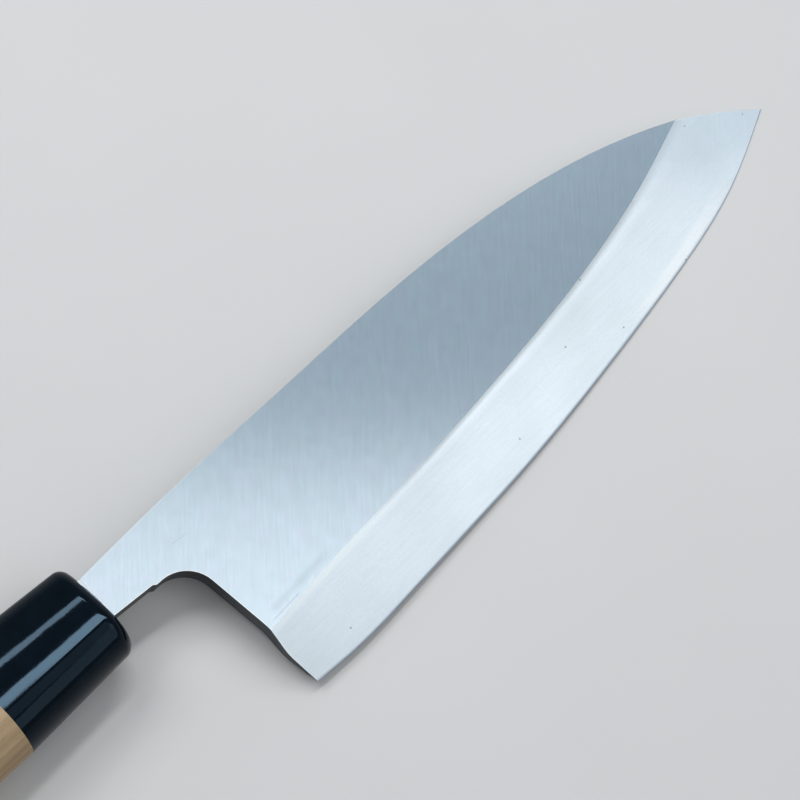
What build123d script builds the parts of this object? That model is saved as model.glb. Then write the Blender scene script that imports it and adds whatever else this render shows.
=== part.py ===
from build123d import *
from math import hypot
import os

os.makedirs("parts", exist_ok=True)

# Deba knife for the right hand: a thick fish knife with one wide bevel.
#
# The knife is drawn along its handle: x runs from the ferrule's front face to the tip, y from the
# edge to the spine and z from the hollow left face to the bevelled right face. The origin is where
# the handle's axis leaves the ferrule, in the middle of the neck's thickness.
# At the end the knife is laid down as it lies on a table, on its left side: it touches the table
# with the underside of the ferrule and with the belly of the edge. Lengths are in millimetres.

# Blade
blade_length = 165.0          # heel to tip, along the handle
blade_height = 51.2           # edge near the heel to the highest part of the spine
edge_drop = 42.2              # handle's axis down to the edge near the heel
spine_thickness = 8.0         # at the ferrule
point_thickness = 3.0         # of the spine where the bevel's ridge line reaches it
face_thinning = 0.3           # of the upper face from the spine down to the ridge line
edge_thickness = 0.22         # left at the edge by the wide bevel
land_thickness = 0.06         # left at the edge by the fine bevel
fine_bevel_width = 0.5
point_bulge = 0.5             # of the spine between the ridge line's end and the tip

# Neck, the rounded notch behind the heel, and the tang
neck_length = 24.05           # ferrule to heel
neck_rise = 6.5               # handle's axis up to the neck's back
neck_width = 10.2
neck_fall = 1.1               # of the neck's underside from the ferrule to the notch's top
neck_seat = 4.0               # of the neck inside the ferrule
seat_thinning = 0.2           # of the neck there, so that the flat face ends at the ferrule
notch_radius = 8.0
notch_start = 11.4            # ferrule to where the notch is ground into the neck's underside
notch_step = 0.5              # the little step there, down to the notch
notch_step_length = 0.8
heel_lean = 4.3               # of the heel's wall, over its height
heel_wall_radius = 12.0       # where the wall bends, at the bevel's ridge line and below it
tang_length = 95.0
tang_root_width = 8.6
tang_root_thickness = 5.4
tang_end_width = 4.2
tang_end_thickness = 2.6

# Hollow of the left face
hollow_depth = 0.75
hollow_edge_rim = 1.8         # flat strip along the edge
hollow_spine_rim = 2.6        # flat strip along the spine
hollow_root = 3.0             # where it starts, in front of the ferrule

# Ferrule
ferrule_length = 30.0
ferrule_front_width = 22.8
ferrule_front_thickness = 17.6
ferrule_front_rounding = 2.8
joint_width = 26.2            # where ferrule and wood meet
joint_thickness = 19.2
neck_clearance = 0.3          # round the neck in its slot
slot_recess = 0.5             # of the resin behind the ferrule's front face

# Handle
handle_length = 131.0         # with the ferrule
butt_width = 28.4
butt_thickness = 20.8
butt_rounding = 2.2
tenon_length = 14.0           # of the wood inside the ferrule
tenon_wall = 2.6              # of the ferrule round the tenon
tang_gap = 0.9                # resin between the tang and the hole
hole_end_gap = 3.0            # resin behind the tang's end

overrun = 5.0                 # of every cut past what it cuts

# Stations along the blade, as shares: from heel to tip, then the edge, the bevel's ridge line and
# the spine as shares of blade_height above the edge at the heel.
station_shares = [
    (0.000, 0.008, 0.290, 0.977),
    (0.060, 0.000, 0.315, 0.984),
    (0.200, 0.025, 0.353, 0.991),
    (0.400, 0.076, 0.412, 1.000),
    (0.600, 0.163, 0.498, 0.966),
    (0.755, 0.250, 0.610, 0.880),
    (0.885, 0.357, 0.742, 0.742),
]
tip_share = (1.0, 0.525)
# Bends of the heel's wall, as shares of heel_lean and of the wall's height over the heel.
heel_wall_shares = [(0.384, 0.222), (0.349, 0.411)]
ridge_past_spine_share = (0.960, 0.822)
heel_overrun_share = -0.06
tip_overrun_share = 0.5       # of the step from the last station to the tip
ruling_overrun_share = 0.2    # of the bevel's width
hollow_end_share = 0.45       # of the way from the last station to the tip
hollow_root_share = 0.08      # of the hollow's full depth
belly_contact_share = 0.893    # of the blade's length, where the edge touches the table

# The handle's section, as shares of its width (towards the spine) and thickness (upwards). The
# flank is a little crowned, and a soft ridge runs along the handle where it ends. A reach says how
# far a side keeps on along the flank, as a share of the width, and along the oval underside, as a
# share of the thickness, before it bends away. The underside is fullest a little towards the spine.
flank_shares = [(0.24, 0.32), (0.05, 0.42), (-0.14, 0.482)]
ridge_reach_shares = (0.15, 0.33)
back_reach_shares = (0.13, 0.15)
underside_lean_share = 0.104

left_face = -spine_thickness / 2


def on_blade(along_share, up_share):
    """A point of the blade's outline from its shares."""
    return neck_length + along_share * blade_length, up_share * blade_height - edge_drop


def between(a, b, share):
    """The point a share of the way from a to b, or past b for a share over 1."""
    return tuple(p + (q - p) * share for p, q in zip(a, b))


def upper_face_height(x, y):
    """Height of the flat upper face, which thins towards the tip and towards the ridge line."""
    end_x, end_y = on_blade(station_shares[-1][0], station_shares[-1][3])
    heel_ridge = on_blade(station_shares[0][0], station_shares[0][2])[1]
    across = face_thinning / (neck_rise - heel_ridge)
    fall = spine_thickness - point_thickness - across * (neck_rise - end_y)
    return left_face + spine_thickness - fall * x / end_x - across * (neck_rise - y)


def edge_points():
    """The edge from behind the heel to past the tip."""
    points = [on_blade(along, edge) for along, edge, ridge, spine in station_shares]
    tip = on_blade(*tip_share)
    behind = (on_blade(heel_overrun_share, 0)[0], points[0][1])
    return [behind] + points + [tip, between(points[-1], tip, 1 + tip_overrun_share)]


def ridge_points():
    """The bevel's ridge line from behind the heel to past the spine."""
    points = [on_blade(along, ridge) for along, edge, ridge, spine in station_shares]
    past = on_blade(*ridge_past_spine_share)
    behind = between(points[1], points[0], 1 - heel_overrun_share / station_shares[1][0])
    return [behind] + points + [past, between(points[-1], past, 1 + tip_overrun_share)]


def notch_outline():
    """The heel's wall, the rounded notch and the neck's underside, from the heel to the ferrule."""
    heel = on_blade(*station_shares[0][:2])
    under = neck_rise - neck_width
    top = under - neck_fall
    rise = top - heel[1]
    wall = [(heel[0] - heel_lean * lean, heel[1] + rise * up) for lean, up in heel_wall_shares]
    radii = [heel_wall_radius] * len(wall) + [notch_radius]
    ground = FilletPolyline(
        heel, *wall, (heel[0] - heel_lean, top), (notch_start, top), radius=radii
    )
    step_end = (notch_start - notch_step_length, top + notch_step)
    return [*ground.edges(), Line((notch_start, top), step_end), Line(step_end, (0, under))]


def blade_outline():
    """Seen from above: neck, spine, tip, edge, heel and the rounded notch."""
    spine = [on_blade(along, spine) for along, edge, ridge, spine in station_shares]
    tip = on_blade(*tip_share)
    heel = on_blade(*station_shares[0][:2])
    under = neck_rise - neck_width
    chord = Vector(*tip) - Vector(*spine[-1])
    outward = Vector(-chord.Y, chord.X).normalized()
    bulge = Vector(*between(spine[-1], tip, 0.5)) + outward * point_bulge
    edge = Spline(*edge_points())
    edge = edge.trim(edge.param_at_point(heel), edge.param_at_point(tip))
    return Face(
        Wire(
            [
                Line((-neck_seat, neck_rise), (0, neck_rise)),
                Spline((0, neck_rise), *spine),
                ThreePointArc(spine[-1], bulge, tip),
                edge,
                *notch_outline(),
                Line((0, under), (-neck_seat, under)),
                Line((-neck_seat, under), (-neck_seat, neck_rise)),
            ]
        )
    )


def above_upper_face():
    """Everything over the flat upper face."""
    tip_x, tip_y = on_blade(*tip_share)
    xs = (-neck_seat - overrun, tip_x + overrun)
    ys = (-edge_drop - overrun, blade_height - edge_drop + overrun)
    corners = [(xs[0], ys[0]), (xs[1], ys[0]), (xs[1], ys[1]), (xs[0], ys[1])]
    plane = Face(Wire.make_polygon([(x, y, upper_face_height(x, y)) for x, y in corners]))
    return extrude(plane, amount=spine_thickness, dir=(0, 0, 1))


def above_bevel(thickness):
    """Everything over a bevel that leaves this thickness at the edge.

    The wide bevel leaves edge_thickness and ends at the ridge line. One that leaves less is steeper
    and meets the wide one at fine_bevel_width from the edge.
    """
    low, high = [], []
    for (x, y), (u, v) in zip(edge_points(), ridge_points()):
        steeper = (edge_thickness - thickness) * hypot(u - x, v - y) / fine_bevel_width
        rise = upper_face_height(u, v) - left_face - edge_thickness + steeper
        foot = (x, y, left_face + thickness)
        head = (u, v, left_face + thickness + rise)
        low.append(between(head, foot, 1 + ruling_overrun_share))
        high.append(between(foot, head, 1 + ruling_overrun_share))
    surface = Face.make_surface_from_curves(Spline(*low), Spline(*high))
    return extrude(surface, amount=spine_thickness * 2, dir=(0, 0, 1))


def hollow_section(x, low, high, depth):
    """A slice of the hollow: an arc between the two flat strips, and room below the face."""
    floor = left_face - overrun
    arc = ThreePointArc(
        (x, low, left_face), (x, (low + high) / 2, left_face + depth), (x, high, left_face)
    )
    box = Polyline((x, high, left_face), (x, high, floor), (x, low, floor), (x, low, left_face))
    return Face(Wire([arc, *box.edges()]))


def hollow():
    """The ground hollow of the left face, from the neck, out through the heel, to near the tip."""
    under = neck_rise - neck_width
    sections = [
        hollow_section(
            hollow_root, under, neck_rise - hollow_spine_rim, hollow_depth * hollow_root_share
        )
    ]
    for along, edge, ridge, spine in station_shares:
        x, low = on_blade(along, edge)
        high = on_blade(along, spine)[1] - hollow_spine_rim
        low += hollow_edge_rim
        depth = hollow_depth * (high - low) / blade_height
        sections.append(hollow_section(x, low, high, depth))
    end = on_blade(*between(station_shares[-1][:2], tip_share, hollow_end_share))
    high = end[1] + 2 * hollow_edge_rim
    depth = hollow_depth * hollow_edge_rim / blade_height
    sections.append(hollow_section(end[0], end[1] + hollow_edge_rim, high, depth))
    return loft(sections)


def bar_section(x, middle, width, thickness):
    """A rectangle across the handle's axis."""
    half_w, half_t = width / 2, thickness / 2
    corners = [(-half_w, -half_t), (half_w, -half_t), (half_w, half_t), (-half_w, half_t)]
    return Face(Wire.make_polygon([(x, middle + y, z) for y, z in corners]))


def tang_middle():
    """Where the tang leaves the neck, across the handle."""
    return neck_rise - neck_width / 2


def tang():
    """The tapered spike inside the handle, let into the neck's end."""
    root = bar_section(-neck_seat, tang_middle(), tang_root_width, tang_root_thickness)
    end = bar_section(-tang_length, 0, tang_end_width, tang_end_thickness)
    return loft([root, end])


def seat_step():
    """What the neck lacks inside the ferrule, so that its flat face ends in front of the ferrule."""
    step = Box(
        neck_seat + overrun, neck_width + overrun, spine_thickness, align=(Align.MAX, Align.CENTER, Align.MIN)
    )
    return step.moved(Location((neck_clearance, tang_middle(), -left_face - seat_thinning)))


def make_blade():
    body = extrude(blade_outline(), amount=spine_thickness, dir=(0, 0, 1))
    body = body.moved(Location((0, 0, left_face)))
    body = body - above_upper_face() - above_bevel(edge_thickness)
    body = body - above_bevel(land_thickness)
    body = body - hollow() - seat_step()
    return body + tang()


def underside_widths(width):
    """The underside's fullest line, and how far it reaches from there to the edge and the spine."""
    middle = width * underside_lean_share
    return middle, width / 2 + middle, width / 2 - middle


def grip_section(x, width, thickness):
    """The handle's D shape at x."""

    def at(shares):
        return (x, shares[0] * width, shares[1] * thickness)

    flank = ThreePointArc(*[at(share) for share in flank_shares])
    ridge_start, back_end = flank @ 1, flank @ 0
    ridge_side = Bezier(
        ridge_start,
        ridge_start + flank.tangent_at(1) * width * ridge_reach_shares[0],
        (x, -width / 2, thickness * ridge_reach_shares[1]),
        (x, -width / 2, 0),
    )
    back_side = Bezier(
        (x, width / 2, 0),
        (x, width / 2, thickness * back_reach_shares[1]),
        back_end - flank.tangent_at(0) * width * back_reach_shares[0],
        back_end,
    )
    middle, edge_side, spine_side = underside_widths(width)
    plane = Plane.YZ.offset(x)
    under_edge = EllipticalCenterArc((middle, 0), edge_side, thickness / 2, 180, arc_size=90)
    under_spine = EllipticalCenterArc((middle, 0), spine_side, thickness / 2, 270, arc_size=90)
    return Face(Wire([flank, ridge_side, plane * under_edge, plane * under_spine, back_side]))


def cavity():
    """The slot for the neck and the tapered hole for the tang, which the resin fills."""
    slot = bar_section(
        overrun, tang_middle(), neck_width + 2 * neck_clearance, spine_thickness + 2 * neck_clearance
    )
    slot = extrude(slot, amount=neck_seat + overrun + neck_clearance, dir=(-1, 0, 0))
    root = bar_section(
        -neck_seat, tang_middle(), tang_root_width + 2 * tang_gap, tang_root_thickness + 2 * tang_gap
    )
    end = bar_section(
        -tang_length - hole_end_gap, 0, tang_end_width + 2 * tang_gap, tang_end_thickness + 2 * tang_gap
    )
    return slot + loft([root, end])


def make_ferrule(hole):
    shell = loft(
        [
            grip_section(0, ferrule_front_width, ferrule_front_thickness),
            grip_section(-ferrule_length, joint_width, joint_thickness),
        ]
    )
    front = shell.faces().sort_by(Axis.X)[-1]
    shell = fillet(front.edges(), ferrule_front_rounding)
    return shell - tenon() - hole


def tenon():
    """The wood inside the ferrule, which is also the ferrule's socket."""
    slope = (joint_width - ferrule_front_width) / ferrule_length
    inner_width = joint_width - 2 * tenon_wall
    inner_thickness = joint_thickness - 2 * tenon_wall
    return loft(
        [
            grip_section(-ferrule_length, inner_width, inner_thickness),
            grip_section(
                tenon_length - ferrule_length,
                inner_width - slope * tenon_length,
                inner_thickness - slope * tenon_length,
            ),
        ]
    )


def make_handle(hole):
    grip = loft(
        [
            grip_section(-ferrule_length, joint_width, joint_thickness),
            grip_section(-handle_length, butt_width, butt_thickness),
        ]
    )
    butt = grip.faces().sort_by(Axis.X)[0]
    grip = fillet(butt.edges(), butt_rounding)
    return grip + tenon() - hole


def make_bedding(hole, blade):
    """The resin: the whole cavity behind the ferrule's face, less the steel."""
    front = Box(
        overrun * 2, neck_width * 2, spine_thickness * 2, align=(Align.MIN, Align.CENTER, Align.CENTER)
    ).moved(Location((-slot_recess, tang_middle(), 0)))
    return hole - front - blade


def lowest_point(section, up):
    """The point of a section's elliptical underside that lies lowest along this direction."""
    x, width, thickness = section
    middle, edge_side, spine_side = underside_widths(width)
    across = spine_side if up.Y < 0 else edge_side
    depth = thickness / 2
    reach = hypot(across * up.Y, depth * up.Z)
    return Vector(x, middle - across * across * up.Y / reach, -depth * depth * up.Z / reach)


def table_plane():
    """The table, under the lowest point of the handle and the belly of the edge.

    The plane holds the edge's direction where it touches. The handle's underside is oval, so the
    point of it that touches moves over as the knife rolls.
    """
    edge = Spline(*edge_points())
    edge = edge.trim(
        edge.param_at_point(on_blade(*station_shares[0][:2])), edge.param_at_point(on_blade(*tip_share))
    )
    touch = edge.position_at(belly_contact_share) + Vector(0, 0, left_face)
    along = edge.tangent_at(belly_contact_share)
    sections = [
        (-ferrule_front_rounding, ferrule_front_width, ferrule_front_thickness),
        (-ferrule_length, joint_width, joint_thickness),
        (butt_rounding - handle_length, butt_width, butt_thickness),
    ]
    up = Vector(0, 0, 1)
    for step in range(8):
        unders = [lowest_point(section, up) for section in sections]
        under = min(unders, key=lambda point: point.dot(up))
        up = along.cross(touch - under).normalized()
        if up.Z < 0:
            up = -up
    return Plane(origin=touch, x_dir=Vector(1, 0, 0) - up * up.X, z_dir=up)


def lay_down(parts):
    """The parts as they lie on the table, with the origin under the middle of their box."""
    table = table_plane().location.inverse()
    laid = {name: part.moved(table) for name, part in parts.items()}
    box = laid["blade"].bounding_box()
    for part in laid.values():
        box = box.add(part.bounding_box())
    middle = Location((-box.center().X, -box.center().Y, -box.min.Z))
    return {name: part.moved(middle) for name, part in laid.items()}


def main():
    blade = make_blade()
    hole = cavity()
    parts = {
        "blade": blade,
        "ferrule": make_ferrule(hole),
        "handle": make_handle(hole),
        "tang_bedding": make_bedding(hole, blade),
    }
    for name, part in lay_down(parts).items():
        export_step(part, f"parts/{name}.step")
        print(name, len(part.solids()), round(part.volume, 1), part.bounding_box())


main()
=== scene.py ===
from collections import Counter
from math import cos, pi, radians, sin, tau
import bpy
from mathutils import Matrix, Vector

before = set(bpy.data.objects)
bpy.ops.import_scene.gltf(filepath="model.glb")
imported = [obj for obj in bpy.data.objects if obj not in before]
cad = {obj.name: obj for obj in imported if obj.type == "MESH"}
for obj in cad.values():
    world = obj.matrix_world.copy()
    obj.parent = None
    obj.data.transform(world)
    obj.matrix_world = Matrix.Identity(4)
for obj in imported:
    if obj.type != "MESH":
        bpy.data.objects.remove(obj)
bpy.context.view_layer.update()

# The knife lies on its left side. +X runs from the butt to the tip, +Y from the edge to the spine,
# +Z up. Lengths are in metres, angles in degrees.
MM = 0.001

# Camera, fitted to the photograph
CAMERA_TARGET = Vector((0.04949, 0.00423, 0.00568))
CAMERA_DISTANCE = 0.65
CAMERA_AZIMUTH = -157.873      # of the camera seen from its target, from +X
CAMERA_ELEVATION = 71.762
KNIFE_ANGLE = 42.157           # of the knife's axis above the picture's horizontal
CAMERA_LENS = 137.01
SENSOR_WIDTH = 36.0
CLIP = (0.05, 20.0)

# The studio round the knife: pale walls, a dim upper room and one soft brighter part of its ceiling
ROOM_COLOR = (0.26, 0.285, 0.31)
CEILING_COLOR = (0.262, 0.322, 0.372)
CEILING_TOWARDS = (0.45, 0.20, 0.87)
CEILING_REACH = (0.50, 0.91)   # cosines of the angles at which it starts and is full
WALL_PAINT = (0.52, 0.54, 0.56)
WALL_TOP = (0.28, 0.10)        # sines of the elevations over which the walls set in, downwards

# The soft box overhead that the blade's flat face mirrors at the heel. U runs along PANEL_TURN.
PANEL_HEIGHT = 1.0
PANEL_TURN = 50.0
PANEL_U = (-0.22, 0.264)
PANEL_V = (-0.35, 0.95)
PANEL_LEVEL = 0.76
PANEL_COLOR = (1.0, 0.98, 0.95)

# The other soft boxes: azimuth and elevation, length and height, turn of the length from the
# level, and brightness. The key casts the shadow, the bevel mirrors the fill, and the ferrule
# mirrors the two strips.
LAMP_DISTANCE = 1.2
LAMPS = {
    "key": (100.0, 45.0, 0.50, 0.50, 0.0, 6.8),
    "fill": (-56.0, 45.5, 1.06, 0.60, 25.0, 1.30),
    "strip": (42.6, 54.6, 0.874, 0.115, 39.0, 17.0),
    "low_strip": (72.0, 42.3, 0.32, 0.085, 0.0, 12.5),
}
LAMP_COLOR = (0.94, 0.975, 1.0)

# Steel: the colours of its ground faces, with painted shade on the walls and a painted highlight on
# the heel wall's arris
FLAT_COLOR = (0.655, 0.745, 0.815)
BEVEL_COLOR = (0.87, 0.93, 0.97)
EDGE_COLOR = (0.38, 0.47, 0.60)
# Painted highlight on the heel wall's arris
RIM_HIGHLIGHT_COLOR = (0.98, 0.99, 1.0)
# The walls other than the spine: painted shade, near black over ground steel
SHADED_WALL_COLOR = (0.028, 0.036, 0.045)
SPINE_COLOR = (0.46, 0.50, 0.53)
HOLLOW_COLOR = (0.50, 0.53, 0.55)
FLAT_ROUGHNESS = 0.23
BEVEL_ROUGHNESS = 0.45
WALL_ROUGHNESS = 0.50
BEVEL_METAL = 0.60
ANISOTROPY = 0.85

# Steel: what tells its faces apart. Each pair says where a face starts and where it is full:
# cosines of the angle between normals, or heights and places along the knife, in millimetres.
NEARLY_LEVEL = 0.9             # least cosine to the vertical of a face that looks up or down
FLAT_FACING = (0.985, 0.998)   # to the flat face
ABOVE_FACING = (0.55, 0.70)    # to the flat face, of all that is ground from above
LEFT_FACING = (0.90, 0.97)     # to the left face
SPINE_FACING = (0.45, 0.75)    # to +Y
HOLLOW_HEIGHT = (0.015, 0.06)  # over the left face
EDGE_HEIGHT = (0.26, 0.18)     # over the left face, of the fine bevel along the edge
RIM_WIDTH = 0.35 * MM          # of the painted highlight on the heel wall's arris
RIM_FACING = (0.985, 0.93)     # between the rounded normal and the true one
RIM_SIDE = (0.45, 0.25)        # of the rounded normal to +Y, which leaves out the spine
RIM_HEIGHT = (1.0, 1.6)        # over the left face, which leaves out the edge
RIDGE_HIGHLIGHT_DROP = (-0.75, -0.25)     # under the flat face, of the bevel's painted highlight along the ridge
RIDGE_SHADE_DROP = (-0.32, 0.0)      # under the flat face, of the painted shade along the ridge
SHADE_START = (15.0, 50.0)     # along the knife, of the painted shade along the ridge and of the upper shade
UPPER_HEIGHT = (2.0, 6.0)      # over the left face, of the bevel's shade towards the ridge
TIP_BAND_HEIGHT = (0.98, 0.70) # over the left face, of the band along the edge near the tip
TIP_BAND_START = (98.0, 112.0)
TIP_BAND_END = (150.0, 140.0)
BEVEL_SHADE_START = (55.0, 105.0)     # along the knife, of the stretch of painted shade where the bevel is less bright
BEVEL_SHADE_END = (152.0, 136.0)

# Steel: factors of the colour where these bands and specks are full. The ridge's bands and the
# bevel's middle stretch are painted highlight and shade.
RIDGE_HIGHLIGHT_FACTOR = 1.09
RIDGE_SHADE_FACTOR = 0.66
UPPER_FACTOR = 0.88
TIP_BAND_TINT = (1.09, 1.055, 1.035)
BEVEL_SHADE_FACTOR = 0.86
PIT_FACTOR = 0.45

# Steel: its textures, as scales per metre (three run along, across and up) and the range of factors
BRUSH_ANGLE = 48.0             # of the lines on the flat face, from the knife's axis
LINE_SCALE = (95, 1900, 1)
LINE_RANGE = (0.945, 1.04)
GRAIN_SCALE = (900, 4200, 1)
GRAIN_RANGE = (0.985, 1.012)
BLOTCH_SCALE = 330.0
BLOTCH_RANGE = (0.965, 1.03)
HUE_SCALE = 210.0
HUES = ((1.02, 0.99, 1.01), (0.985, 1.01, 0.995))
STREAK_ANGLE = 3.0             # of the lines on the bevel
STREAK_SCALE = (90, 2600, 400)
STREAK_RANGE = (0.965, 1.03)
CLOUD_SCALE = 55.0
CLOUD_RANGE = (0.95, 1.04)
SPECKLE_SCALE = 1900.0
SPECKLE_RANGE = (0.97, 1.025)
WALL_RANGE = (0.85, 1.15)
HOLLOW_RANGE = (0.90, 1.08)
LINE_DEPTH = 0.01 * MM
LINE_BUMP = 0.06
PIT_CELLS = 90.0               # per metre, with a speck in this share of them
PIT_SHARE = 0.35
PIT_SOFTNESS = 0.02            # of the choice of those cells
PIT_RADIUS = 0.28 * MM

# Steel: marks drawn as straight strokes. Both ends, along the knife and across it, half the width
# and the soft ends' length, all in millimetres, then the factor of the colour.
# Painted shade: a darker band on the flat face at the heel
HEEL_SHADE_BAND = ((14.4, -9.6), (-4.6, -11.1), 1.4, 3.0, 0.90)
# Painted shade: a dark line along the ridge at the heel
HEEL_SHADE_LINE = ((4.0, -11.95), (-4.7, -12.6), 0.30, 1.0, 0.87)
SCRATCH = ((-9.9, 13.1), (-5.0, 12.8), 0.16, 1.2, 0.85)

# Ferrule
HORN_COLOR = (0.0015, 0.003, 0.005)
# Blue tint of the ferrule's reflections, a painted colour of the light
HORN_REFLECTION_TINT = (0.46, 0.74, 1.0)
HORN_GLOSS = 0.18
HORN_ROUGHNESS = 0.06
HORN_SCALE = 300.0
HORN_RANGE = (0.7, 1.4)
WAVE_SCALE = 120.0
WAVE_DEPTH = 0.02 * MM
WAVE_BUMP = 0.05

# Wood
WOOD_LIGHT = (0.45, 0.315, 0.175)
WOOD_DARK = (0.28, 0.18, 0.088)
WOOD_PITH = (-0.030, -0.055)   # of the tree's rings, across the knife and up
RING_WIDTH = 2.1 * MM
RING_RANGE = (1.05, 0.88)
WOBBLE = 5.0 * MM              # of the rings along the handle
WOBBLE_SCALE = (9, 60, 60)
BAND_SCALE = (10, 150, 150)
BAND_STEP = (0.3, 0.75)
FIBRE_SCALE = (70, 3000, 3000)
FIBRE_RANGE = (0.88, 1.08)
FIBRE_DEPTH = 0.03 * MM
FIBRE_BUMP = 0.2
PORE_SCALE = (260, 6000, 6000)
PORE_STEP = (0.66, 0.72)
PORE_FACTOR = 0.72
WOOD_ROUGHNESS = (0.52, 0.68)

# Resin and floor
RESIN_COLOR = (0.05, 0.04, 0.035)
RESIN_SCALE = 1500.0
RESIN_RANGE = (0.8, 1.6)
RESIN_ROUGHNESS = 0.7
FLOOR_COLOR = (0.60, 0.58, 0.565)
FLOOR_SCALE = 12.0
FLOOR_RANGE = (0.98, 1.02)
FLOOR_ROUGHNESS = 0.9
FLOOR_SIZE = 6.0


class Nodes:
    """Builds the nodes of one material or of the world."""

    def __init__(self, owner):
        owner.use_nodes = True
        self.owner = owner
        self.tree = owner.node_tree
        self.tree.nodes.clear()

    def add(self, kind, inputs=None, **settings):
        """A node with its settings, and its inputs by name or number: a value or a socket."""
        node = self.tree.nodes.new(kind)
        for key, value in settings.items():
            setattr(node, key, value)
        for key, value in (inputs or {}).items():
            if isinstance(value, bpy.types.NodeSocket):
                self.tree.links.new(value, node.inputs[key])
            else:
                node.inputs[key].default_value = value
        return node

    def math(self, operation, *values):
        return self.add("ShaderNodeMath", dict(enumerate(values)), operation=operation).outputs[0]

    def product(self, *values):
        result = values[0]
        for value in values[1:]:
            result = self.math("MULTIPLY", result, value)
        return result

    def dot(self, a, b):
        inputs = {0: a, 1: b}
        return self.add("ShaderNodeVectorMath", inputs, operation="DOT_PRODUCT").outputs["Value"]

    def step(self, value, low, high):
        """Goes smoothly from 0 at low to 1 at high. High may be the lower of the two."""
        node = self.add("ShaderNodeMapRange", {0: value}, interpolation_type="SMOOTHSTEP")
        node.inputs["From Min"].default_value = min(low, high)
        node.inputs["From Max"].default_value = max(low, high)
        node.inputs["To Min"].default_value = 0.0 if low < high else 1.0
        node.inputs["To Max"].default_value = 1.0 if low < high else 0.0
        return node.outputs[0]

    def spread(self, value, low, high, share=0.25):
        """A value from low to high, as the given one goes over this share either side of 0.5."""
        inputs = {0: value, 1: 0.5 - share, 2: 0.5 + share, 3: low, 4: high}
        return self.add("ShaderNodeMapRange", inputs).outputs[0]

    def mix(self, share, a, b, blend="MIX"):
        node = self.add("ShaderNodeMix", data_type="RGBA", blend_type=blend)
        for socket, value in ((node.inputs[0], share), (node.inputs[6], a), (node.inputs[7], b)):
            if isinstance(value, bpy.types.NodeSocket):
                self.tree.links.new(value, socket)
            else:
                socket.default_value = value if socket.type == "VALUE" else (*value, 1.0)
        return node.outputs[2]

    def times(self, color, factor):
        return self.mix(1.0, color, factor, "MULTIPLY")

    def varied(self, color, noise, span):
        """The colour times a factor that follows a noise value."""
        return self.times(color, self.spread(noise, *span))

    def shaded(self, color, mask, factor):
        """The colour times this factor where the mask is 1."""
        return self.times(color, self.spread(mask, 1.0, factor, share=0.5))

    def noise(self, vector, scale, detail=2.0, roughness=0.5):
        inputs = {"Vector": vector, "Scale": scale, "Detail": detail, "Roughness": roughness}
        return self.add("ShaderNodeTexNoise", inputs).outputs["Fac"]

    def place(self):
        """The place on the knife, in metres."""
        return self.add("ShaderNodeTexCoord").outputs["Object"]

    def part(self, vector, axis):
        return self.add("ShaderNodeSeparateXYZ", {0: vector}).outputs[axis]

    def scaled(self, vector, scale, angle=0.0):
        """The place turned about Z, so that X runs at this angle, then scaled along each axis."""
        rotation = (0, 0, -radians(angle))
        turned = self.add("ShaderNodeMapping", {"Vector": vector, "Rotation": rotation}).outputs[0]
        return self.add("ShaderNodeMapping", {"Vector": turned, "Scale": scale}).outputs[0]

    def stroked(self, color, place, mark):
        """The colour with a straight stroke on it."""
        start, end = (Vector((x * MM, y * MM, 0.0)) for x, y in mark[:2])
        half_width, soft_end = (value * MM for value in mark[2:4])
        along = (end - start).normalized()
        across = Vector((-along.y, along.x, 0.0))
        run = self.math("SUBTRACT", self.dot(place, tuple(along)), start.dot(along))
        off = self.math("SUBTRACT", self.dot(place, tuple(across)), start.dot(across))
        length = (end - start).length
        mask = self.product(
            self.step(self.math("ABSOLUTE", off), half_width, 0.0),
            self.step(run, 0.0, soft_end),
            self.step(run, length, length - soft_end),
        )
        return self.shaded(color, mask, mark[4])

    def bump(self, height, strength, distance):
        inputs = {"Height": height, "Strength": strength, "Distance": distance}
        return self.add("ShaderNodeBump", inputs).outputs[0]

    def finish(self, shader):
        self.add("ShaderNodeOutputMaterial", {"Surface": shader})
        return self.owner


def face_plane(mesh, upward):
    """The plane of the mesh's largest flat face that looks up, or down: a point and its normal."""
    areas = Counter()
    found = {}
    for polygon in mesh.polygons:
        if abs(polygon.normal.z) > NEARLY_LEVEL and (polygon.normal.z > 0) == upward:
            key = tuple(round(value, 3) for value in polygon.normal)
            areas[key] += polygon.area
            if key not in found or polygon.area > found[key].area:
                found[key] = polygon
    largest = found[areas.most_common(1)[0][0]]
    return largest.center.copy(), largest.normal.copy()


def height_over(nodes, place, plane):
    """Distance of the place from a plane, in millimetres, along the plane's normal."""
    point, normal = plane
    height = nodes.math("SUBTRACT", nodes.dot(place, tuple(normal)), point.dot(normal))
    return nodes.math("DIVIDE", height, MM)


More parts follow.
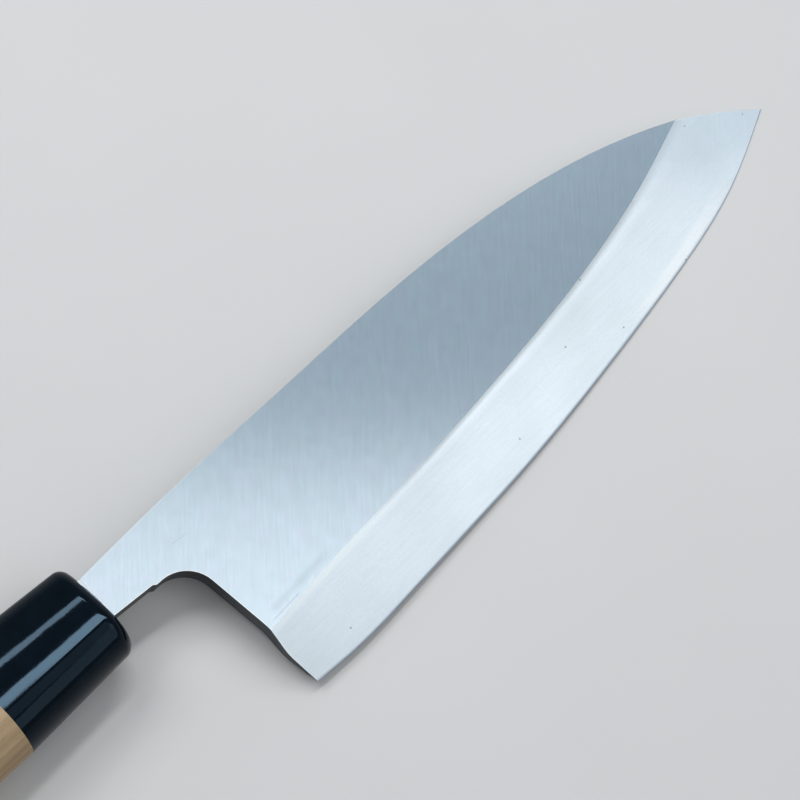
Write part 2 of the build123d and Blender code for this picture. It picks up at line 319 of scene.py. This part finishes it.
def steel_areas(nodes, place, normal, rounded, blade):
    """Where each kind of ground face lies on the blade, and where highlight and shade are painted
    on it, as masks from 0 to 1.
    """
    upper = face_plane(blade.data, True)
    lower = face_plane(blade.data, False)
    facing = nodes.dot(normal, tuple(upper[1]))
    under_flat = height_over(nodes, place, upper)
    over_left = nodes.math("MULTIPLY", height_over(nodes, place, lower), -1.0)
    along = nodes.math("DIVIDE", nodes.part(place, "X"), MM)

    flat = nodes.step(facing, *FLAT_FACING)
    above = nodes.step(facing, *ABOVE_FACING)
    bevel = nodes.product(above, nodes.math("SUBTRACT", 1.0, flat))
    # The bevel from the heel on, where shade is painted along the ridge and towards it
    bevel_for_shade = nodes.product(bevel, nodes.step(along, *SHADE_START))
    return {
        "flat": flat,
        "above": above,
        "bevel": bevel,
        "edge": nodes.product(bevel, nodes.step(over_left, *EDGE_HEIGHT)),
        # Painted highlight along the ridge
        "band": nodes.product(bevel, nodes.step(under_flat, *RIDGE_HIGHLIGHT_DROP)),
        # Painted shade along the ridge
        "ridge": nodes.product(bevel_for_shade, nodes.step(under_flat, *RIDGE_SHADE_DROP)),
        "upper": nodes.product(bevel_for_shade, nodes.step(over_left, *UPPER_HEIGHT)),
        "tip band": nodes.product(
            bevel,
            nodes.step(over_left, *TIP_BAND_HEIGHT),
            nodes.step(along, *TIP_BAND_START),
            nodes.step(along, *TIP_BAND_END),
        ),
        # Painted shade over the bevel's middle and its tip
        "shaded stretch": nodes.product(nodes.step(along, *BEVEL_SHADE_START), nodes.step(along, *BEVEL_SHADE_END)),
        # Painted highlight on the heel wall's arris
        "rim": nodes.product(
            above,
            nodes.step(nodes.dot(normal, rounded), *RIM_FACING),
            nodes.step(nodes.part(rounded, "Y"), *RIM_SIDE),
            nodes.step(over_left, *RIM_HEIGHT),
        ),
        "spine": nodes.step(nodes.part(normal, "Y"), *SPINE_FACING),
        "left": nodes.step(nodes.dot(normal, tuple(lower[1])), *LEFT_FACING),
        "hollow": nodes.step(over_left, *HOLLOW_HEIGHT),
    }


def pits(nodes, place):
    """A few tiny specks, as a mask."""
    inputs = {"Vector": place, "Scale": PIT_CELLS}
    cells = nodes.add("ShaderNodeTexVoronoi", inputs, voronoi_dimensions="2D")
    drawn = nodes.part(cells.outputs["Color"], "X")
    radius = PIT_RADIUS * PIT_CELLS
    least = 1.0 - PIT_SHARE
    return nodes.product(
        nodes.step(drawn, least, least + PIT_SOFTNESS),
        nodes.step(cells.outputs["Distance"], radius, radius / 2),
    )


def flat_color(nodes, place, lines):
    """The flat face: grinding lines, soft blotches, a band of painted shade at the heel and a
    scratch.
    """
    grain = nodes.noise(nodes.scaled(place, GRAIN_SCALE, BRUSH_ANGLE), 1.0)
    blotches = nodes.noise(place, BLOTCH_SCALE, detail=3.0, roughness=0.6)
    hues = nodes.noise(place, HUE_SCALE, detail=1.0)
    color = nodes.varied(FLAT_COLOR, lines, LINE_RANGE)
    color = nodes.varied(color, grain, GRAIN_RANGE)
    color = nodes.varied(color, blotches, BLOTCH_RANGE)
    color = nodes.times(color, nodes.mix(nodes.spread(hues, 0.0, 1.0), *HUES))
    color = nodes.stroked(color, place, HEEL_SHADE_BAND)
    return nodes.stroked(color, place, SCRATCH)


def bevel_color(nodes, place, areas, streaks):
    """The wide bevel with its bands, painted highlight and shade among them, its specks, and the
    fine bevel along the edge.
    """
    clouds = nodes.noise(place, CLOUD_SCALE)
    speckle = nodes.noise(place, SPECKLE_SCALE)
    color = nodes.varied(BEVEL_COLOR, clouds, CLOUD_RANGE)
    color = nodes.varied(color, streaks, STREAK_RANGE)
    color = nodes.varied(color, speckle, SPECKLE_RANGE)
    # Painted highlight along the ridge
    color = nodes.shaded(color, areas["band"], RIDGE_HIGHLIGHT_FACTOR)
    # Painted shade along the ridge and towards it
    color = nodes.shaded(color, areas["ridge"], RIDGE_SHADE_FACTOR)
    color = nodes.shaded(color, areas["upper"], UPPER_FACTOR)
    color = nodes.times(color, nodes.mix(areas["tip band"], (1.0, 1.0, 1.0), TIP_BAND_TINT))
    # Painted shade over the bevel's middle and its tip
    color = nodes.shaded(color, areas["shaded stretch"], BEVEL_SHADE_FACTOR)
    color = nodes.shaded(color, pits(nodes, place), PIT_FACTOR)
    return nodes.mix(areas["edge"], color, EDGE_COLOR)


def steel_color(nodes, place, areas, lines, streaks):
    """The colours of all the blade's faces, put together, with their painted shade and highlights.
    """
    # Painted shade: the walls other than the spine are near black
    wall = nodes.mix(areas["spine"], SHADED_WALL_COLOR, SPINE_COLOR)
    wall = nodes.varied(wall, streaks, WALL_RANGE)
    color = nodes.mix(areas["above"], wall, bevel_color(nodes, place, areas, streaks))
    color = nodes.mix(areas["flat"], color, flat_color(nodes, place, lines))
    # Painted shade: a dark line along the ridge at the heel
    color = nodes.stroked(color, place, HEEL_SHADE_LINE)
    # Painted highlight on the heel wall's arris
    color = nodes.mix(areas["rim"], color, RIM_HIGHLIGHT_COLOR)
    left = nodes.mix(areas["hollow"], BEVEL_COLOR, HOLLOW_COLOR)
    left = nodes.varied(left, lines, HOLLOW_RANGE)
    return nodes.mix(areas["left"], color, left)


def steel_material(blade):
    nodes = Nodes(bpy.data.materials.new("steel"))
    place = nodes.place()
    normal = nodes.add("ShaderNodeNewGeometry").outputs["True Normal"]
    rounded = nodes.add("ShaderNodeBevel", {"Radius": RIM_WIDTH}, samples=8).outputs[0]
    areas = steel_areas(nodes, place, normal, rounded, blade)
    lines = nodes.scaled(place, LINE_SCALE, BRUSH_ANGLE)
    lines = nodes.noise(lines, 1.0, detail=4.0, roughness=0.7)
    streaks = nodes.scaled(place, STREAK_SCALE, STREAK_ANGLE)
    streaks = nodes.noise(streaks, 1.0, detail=3.0, roughness=0.6)

    rough = nodes.mix(areas["bevel"], (WALL_ROUGHNESS,) * 3, (BEVEL_ROUGHNESS,) * 3)
    rough = nodes.mix(areas["flat"], rough, (FLAT_ROUGHNESS,) * 3)
    metal = nodes.spread(areas["bevel"], 1.0, BEVEL_METAL, share=0.5)
    height = nodes.math(
        "ADD",
        nodes.product(lines, areas["flat"]),
        nodes.product(streaks, areas["bevel"]),
    )
    across = {0: -sin(radians(BRUSH_ANGLE)), 1: cos(radians(BRUSH_ANGLE))}
    shader = nodes.add(
        "ShaderNodeBsdfPrincipled",
        {
            "Base Color": steel_color(nodes, place, areas, lines, streaks),
            "Roughness": rough,
            "Metallic": metal,
            "Normal": nodes.bump(height, LINE_BUMP, LINE_DEPTH),
            "Tangent": nodes.add("ShaderNodeCombineXYZ", across).outputs[0],
            "Anisotropic": ANISOTROPY,
        },
    )
    return nodes.finish(shader.outputs[0])


def ferrule_material():
    nodes = Nodes(bpy.data.materials.new("black_ferrule"))
    place = nodes.place()
    shade = nodes.noise(place, HORN_SCALE, detail=3.0)
    color = nodes.varied(HORN_COLOR, shade, HORN_RANGE)
    waves = nodes.noise(place, WAVE_SCALE)
    shader = nodes.add(
        "ShaderNodeBsdfPrincipled",
        {
            "Base Color": color,
            "Roughness": HORN_ROUGHNESS,
            "Specular IOR Level": HORN_GLOSS,
            # Painted colour of the light: the reflections tinted blue
            "Specular Tint": (*HORN_REFLECTION_TINT, 1.0),
            "Normal": nodes.bump(waves, WAVE_BUMP, WAVE_DEPTH),
        },
    )
    return nodes.finish(shader.outputs[0])


def wood_rings(nodes, place):
    """The tree's rings: long lines on the handle's sides and arcs on its butt."""
    from_pith = (0.0, -WOOD_PITH[0], -WOOD_PITH[1])
    inputs = {"Vector": place, "Scale": (0.0, 1.0, 1.0), "Location": from_pith}
    across = nodes.add("ShaderNodeMapping", inputs).outputs[0]
    radius = nodes.add("ShaderNodeVectorMath", {0: across}, operation="LENGTH").outputs["Value"]
    wobble = nodes.noise(nodes.scaled(place, WOBBLE_SCALE), 1.0)
    radius = nodes.math("ADD", radius, nodes.product(wobble, WOBBLE))
    turns = nodes.math("DIVIDE", radius, RING_WIDTH)
    wave = nodes.math("SINE", nodes.math("MULTIPLY", turns, tau))
    return nodes.math("MULTIPLY_ADD", wave, 0.5, 0.5)


def wood_material():
    nodes = Nodes(bpy.data.materials.new("magnolia"))
    place = nodes.place()
    rings = wood_rings(nodes, place)
    bands = nodes.noise(nodes.scaled(place, BAND_SCALE), 1.0, detail=3.0)
    fibres = nodes.noise(nodes.scaled(place, FIBRE_SCALE), 1.0, detail=3.0)
    pores = nodes.noise(nodes.scaled(place, PORE_SCALE), 1.0, detail=1.0)
    color = nodes.mix(nodes.step(bands, *BAND_STEP), WOOD_LIGHT, WOOD_DARK)
    color = nodes.times(color, nodes.spread(rings, *RING_RANGE, share=0.5))
    color = nodes.varied(color, fibres, FIBRE_RANGE)
    color = nodes.shaded(color, nodes.step(pores, *PORE_STEP), PORE_FACTOR)
    shader = nodes.add(
        "ShaderNodeBsdfPrincipled",
        {
            "Base Color": color,
            "Roughness": nodes.spread(fibres, *WOOD_ROUGHNESS),
            "Normal": nodes.bump(fibres, FIBRE_BUMP, FIBRE_DEPTH),
        },
    )
    return nodes.finish(shader.outputs[0])


def resin_material():
    nodes = Nodes(bpy.data.materials.new("resin"))
    color = nodes.varied(RESIN_COLOR, nodes.noise(nodes.place(), RESIN_SCALE), RESIN_RANGE)
    inputs = {"Base Color": color, "Roughness": RESIN_ROUGHNESS}
    return nodes.finish(nodes.add("ShaderNodeBsdfPrincipled", inputs).outputs[0])


def floor_material():
    nodes = Nodes(bpy.data.materials.new("pale_floor"))
    cloud = nodes.noise(nodes.place(), FLOOR_SCALE, detail=3.0)
    color = nodes.varied(FLOOR_COLOR, cloud, FLOOR_RANGE)
    inputs = {"Base Color": color, "Roughness": FLOOR_ROUGHNESS}
    return nodes.finish(nodes.add("ShaderNodeBsdfPrincipled", inputs).outputs[0])


def make_floor():
    half = FLOOR_SIZE / 2
    corners = [(-half, -half, 0), (half, -half, 0), (half, half, 0), (-half, half, 0)]
    mesh = bpy.data.meshes.new("floor")
    mesh.from_pydata(corners, [], [(0, 1, 2, 3)])
    floor = bpy.data.objects.new("floor", mesh)
    bpy.context.scene.collection.objects.link(floor)
    mesh.materials.append(floor_material())


def make_world():
    world = bpy.data.worlds.new("studio")
    bpy.context.scene.world = world
    nodes = Nodes(world)
    outward = nodes.add("ShaderNodeTexCoord").outputs["Generated"]
    towards = Vector(CEILING_TOWARDS).normalized()
    ceiling = nodes.step(nodes.dot(outward, tuple(towards)), *CEILING_REACH)
    color = nodes.mix(ceiling, ROOM_COLOR, CEILING_COLOR)
    walls = nodes.step(nodes.part(outward, "Z"), *WALL_TOP)
    color = nodes.mix(walls, color, WALL_PAINT)
    background = nodes.add("ShaderNodeBackground", {"Color": color, "Strength": 1.0})
    nodes.add("ShaderNodeOutputWorld", {"Surface": background.outputs[0]})


def area_light(name, size, level, color):
    """A soft box of this size whose face has this brightness. It looks down from the origin."""
    light = bpy.data.lights.new(name, "AREA")
    light.shape = "RECTANGLE"
    light.size, light.size_y = size
    light.energy = level * size[0] * size[1] * pi
    light.color = color
    holder = bpy.data.objects.new(name, light)
    holder.visible_camera = False
    bpy.context.scene.collection.objects.link(holder)
    return holder


def direction(azimuth, elevation):
    a, e = radians(azimuth), radians(elevation)
    return Vector((cos(a) * cos(e), sin(a) * cos(e), sin(e)))


def aimed_light(name, azimuth, elevation, length, height, spin, level):
    """A soft box in this direction, turned to the knife."""
    back = direction(azimuth, elevation)
    side = Vector((0, 0, 1)).cross(back).normalized()
    turn = Matrix((side, back.cross(side), back)).transposed().to_4x4()
    light = area_light(name, (length, height), level, LAMP_COLOR)
    turn = turn @ Matrix.Rotation(radians(spin), 4, "Z")
    light.matrix_world = Matrix.Translation(back * LAMP_DISTANCE) @ turn


def make_panel():
    """The soft box overhead. Its straight far side is the one that the flat face mirrors."""
    size = (PANEL_U[1] - PANEL_U[0], PANEL_V[1] - PANEL_V[0])
    middle = Vector((sum(PANEL_U) / 2, -sum(PANEL_V) / 2, PANEL_HEIGHT))
    panel = area_light("panel", size, PANEL_LEVEL, PANEL_COLOR)
    turn = Matrix.Rotation(radians(PANEL_TURN), 4, "Z")
    panel.matrix_world = turn @ Matrix.Translation(middle)


def make_lights():
    make_panel()
    for name, values in LAMPS.items():
        aimed_light(name, *values)


def make_camera():
    data = bpy.data.cameras.new("camera")
    data.lens, data.sensor_width = CAMERA_LENS, SENSOR_WIDTH
    data.clip_start, data.clip_end = CLIP
    camera = bpy.data.objects.new("camera", data)
    bpy.context.scene.collection.objects.link(camera)
    back = direction(CAMERA_AZIMUTH, CAMERA_ELEVATION)
    along = (Vector((1, 0, 0)) - back * back.x).normalized()
    across = back.cross(along)
    angle = radians(KNIFE_ANGLE)
    right = along * cos(angle) - across * sin(angle)
    up = along * sin(angle) + across * cos(angle)
    turn = Matrix((right, up, back)).transposed().to_4x4()
    camera.matrix_world = Matrix.Translation(CAMERA_TARGET + back * CAMERA_DISTANCE) @ turn
    bpy.context.scene.camera = camera


def dress(node, material):
    """Gives a CAD node its material, in each slot that it has."""
    for slot in node.material_slots:
        slot.material = material


dress(cad["blade"], steel_material(cad["blade"]))
dress(cad["ferrule"], ferrule_material())
dress(cad["handle"], wood_material())
dress(cad["tang_bedding"], resin_material())
make_floor()
make_world()
make_lights()
make_camera()
bpy.context.scene.view_settings.view_transform = "Standard"
